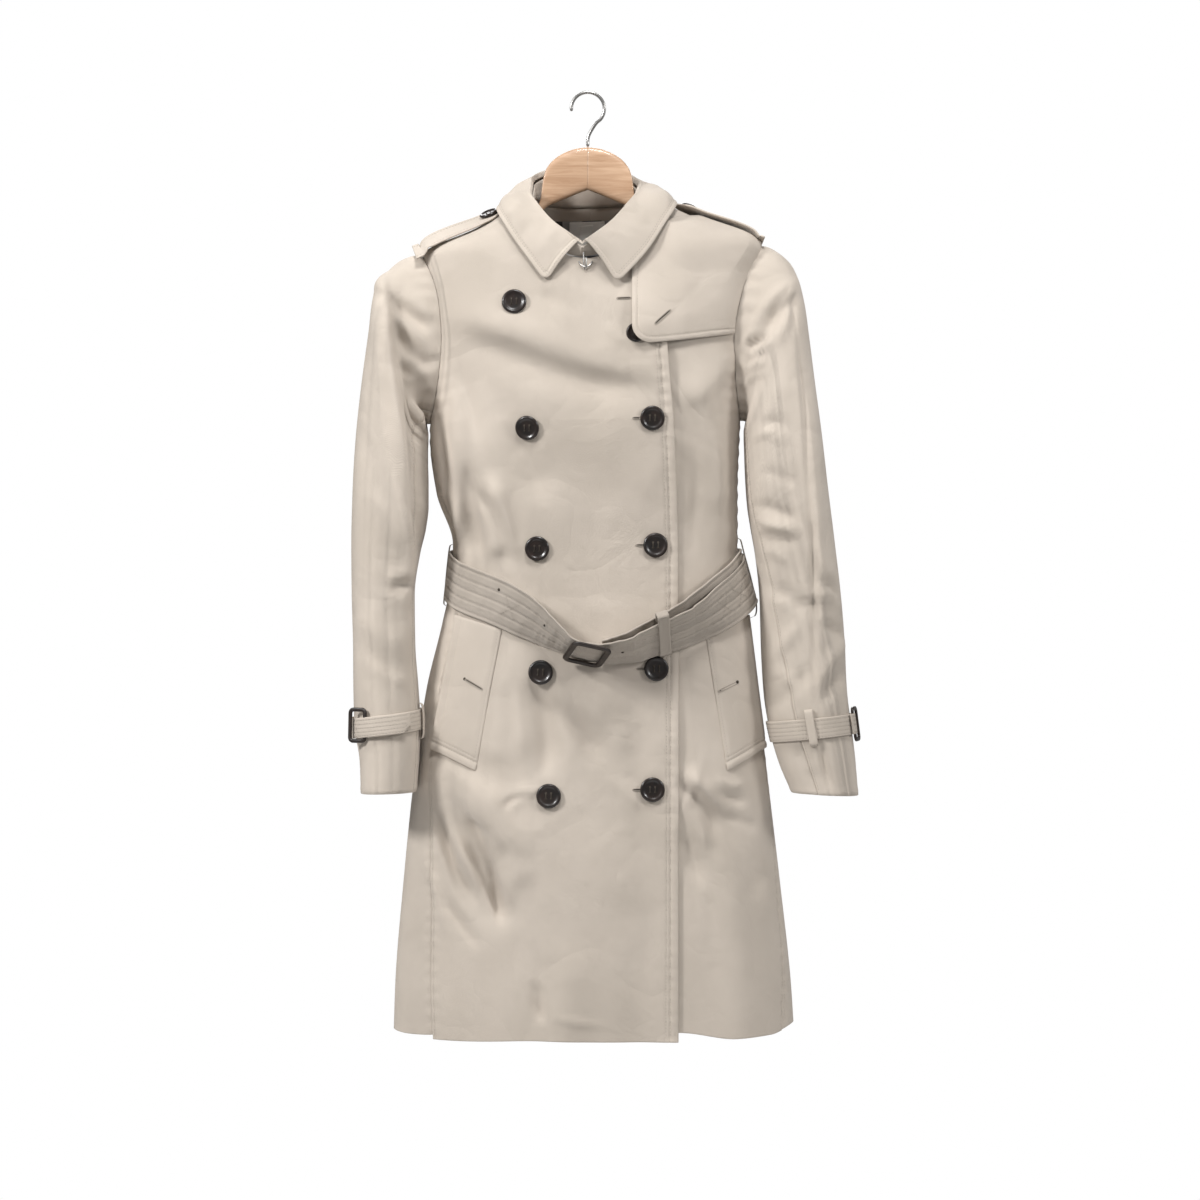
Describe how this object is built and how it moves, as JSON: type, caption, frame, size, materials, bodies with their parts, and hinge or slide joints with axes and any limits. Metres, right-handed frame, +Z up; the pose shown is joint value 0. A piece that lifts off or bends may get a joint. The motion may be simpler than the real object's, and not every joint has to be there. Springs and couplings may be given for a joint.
{
  "type": "trench coat on hanger",
  "caption": "mid-length double-breasted trench coat with buckled belt, storm flap, shoulder straps and cuff straps, hanging on a wooden hanger",
  "frame": {"origin": "where the rail carries the hanger: the underside of the top of the hanger's hook", "axes": "+Z up, -Y the coat's buttoned front, +X the image-right sleeve"},
  "size_m": [0.5869, 0.2157, 1.083],
  "materials": {
    "coat_cloth": "tight beige cotton twill, matt with a faint sheen",
    "belt_cloth": "the same twill, stitched through in rows",
    "lining": "plain weave with a woven check in grey, black and white",
    "label": "smooth white satin tape, bare",
    "button": "dark brown mottled horn look, half gloss",
    "leather": "dark brown leather, worn half gloss",
    "hanger_wood": "pale clear-lacquered wood",
    "steel": "bright nickel-plated wire"
  },
  "bodies": {
    "root": {"over_front": "coat_cloth", "under_front": "coat_cloth", "back_left": "coat_cloth", "back_right": "coat_cloth", "collar_fall": "coat_cloth", "collar_stand": "coat_cloth", "storm_flap": "coat_cloth", "belt": "belt_cloth", "belt_buckle": "leather", "belt_keeper": "belt_cloth", "belt_loop_left": "belt_cloth", "belt_loop_right": "belt_cloth", "lining_neck": "lining", "neck_label": "label", "throat_eye": "steel", "throat_hook": "steel", "hanger_arm_left": "hanger_wood", "hanger_arm_right": "hanger_wood", "hanger_hook": "steel", "button_flap": "button", "button_left_1": "button", "button_left_2": "button", "button_left_3": "button", "button_left_4": "button", "button_left_5": "button", "button_right_2": "button", "button_right_3": "button", "button_right_4": "button", "button_right_5": "button", "top_sleeve_left": "coat_cloth", "under_sleeve_left": "coat_cloth", "epaulette_left": "coat_cloth", "button_epaulette_left": "button", "epaulette_loop_left": "coat_cloth", "pocket_welt_left": "coat_cloth", "cuff_strap_left": "belt_cloth", "cuff_buckle_left": "leather", "top_sleeve_right": "coat_cloth", "under_sleeve_right": "coat_cloth", "epaulette_right": "coat_cloth", "button_epaulette_right": "button", "epaulette_loop_right": "coat_cloth", "pocket_welt_right": "coat_cloth", "cuff_strap_right": "belt_cloth", "cuff_buckle_right": "leather"}
  },
  "joints": []
}
